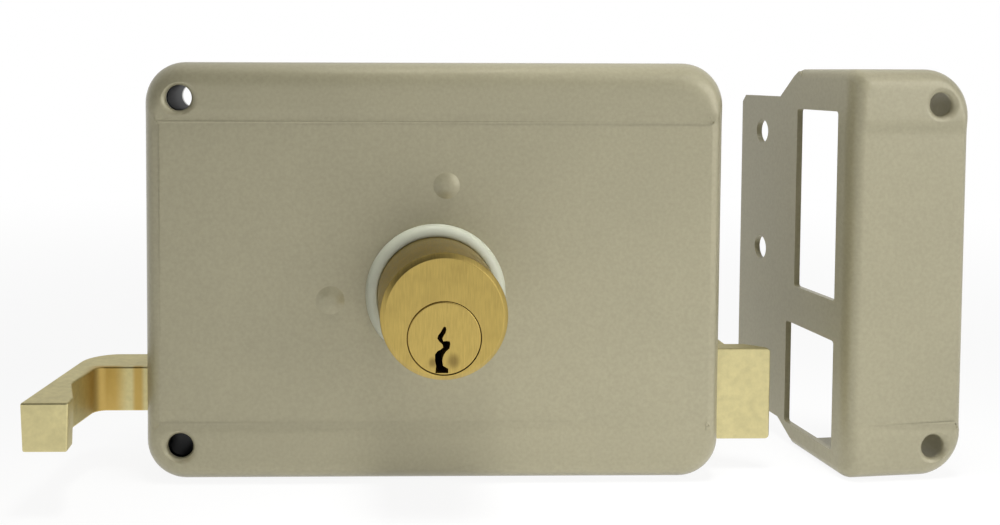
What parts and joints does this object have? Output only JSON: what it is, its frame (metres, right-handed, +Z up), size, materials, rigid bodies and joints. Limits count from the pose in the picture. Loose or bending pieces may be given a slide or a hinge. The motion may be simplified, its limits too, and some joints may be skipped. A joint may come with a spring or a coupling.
{
  "type": "rim box lock",
  "caption": "Surface-mounted box lock with key cylinder, rack-driven deadbolt, sprung latch with a pull hook, and a separate box keeper.",
  "frame": {"origin": "the cylinder's axis where it meets the door plane, at the back of the case", "axes": "+X to the right seen from the room, towards the bolts and the keeper; +Z up; +Y into the door, so the cylinder's key face looks along -Y"},
  "size_m": [0.1759, 0.0654, 0.08],
  "materials": {
    "case_enamel": "satin enamel on pressed steel",
    "steel": "zinc-plated sheet steel",
    "dark_steel": "dull drawn steel tube",
    "screw_steel": "turned steel",
    "spring_steel": "spring steel",
    "brass": "satin turned brass",
    "plug_brass": "brushed brass",
    "bolt_brass": "satin cast brass",
    "collar": "pale grey moulded ring"
  },
  "bodies": {
    "root": {"case_shell": "case_enamel", "case_lugs": "steel", "back_plate": "steel", "back_plate_screws": "screw_steel", "forend_plate": "steel", "fixing_tubes": "dark_steel", "guide_post": "case_enamel", "lever_post": "case_enamel", "lever_washer": "screw_steel", "cylinder_body": "brass", "chamber_cover": "brass", "collar_ring": "collar", "retaining_clip": "screw_steel", "driver_pins": "plug_brass", "pin_springs": "spring_steel", "deadbolt_spring": "spring_steel", "latch_spring": "spring_steel", "spring_bracket": "steel", "keeper_shell": "case_enamel"},
    "key_drive": {"plug": "plug_brass", "key_pins": "plug_brass", "drive_pinion": "steel", "drive_screws": "screw_steel"},
    "deadbolt": {"deadbolt_head": "bolt_brass", "deadbolt_tail": "steel", "deadbolt_rivets": "screw_steel"},
    "latch": {"latch_bolt": "bolt_brass", "latch_slide": "steel", "latch_rivet": "screw_steel", "pull_lever": "bolt_brass", "pull_rivet": "screw_steel", "slide_stud": "screw_steel", "spring_rod": "screw_steel"},
    "lever": {"retracting_lever": "steel"}
  },
  "joints": [
    {"name": "key_turn", "type": "hinge", "parent": "root", "child": "key_drive", "pos_m": [0, -0.0275, -0.0036], "axis": [0, 1, 0], "range_deg": [0, 360]},
    {"name": "deadbolt_throw", "type": "slide", "parent": "root", "child": "deadbolt", "axis": [1, 0, 0], "range_m": [0, 0.0201]},
    {"name": "latch_pull", "type": "slide", "parent": "root", "child": "latch", "axis": [-1, 0, 0], "range_m": [0, 0.011], "stiffness_N_per_m": 300, "springref_m": -0.008, "deforming": ["latch_spring"]},
    {"name": "lever_swing", "type": "hinge", "parent": "root", "child": "lever", "pos_m": [-0.0198, -0.0115, -0.0013], "axis": [0, 1, 0], "range_deg": [0, 33]}
  ],
  "couplings": [
    {"joint": "key_turn", "follows": "deadbolt_throw", "rad_per_m": 312.5},
    {"joint": "lever_swing", "follows": "latch_pull", "rad_per_m": 51}
  ]
}
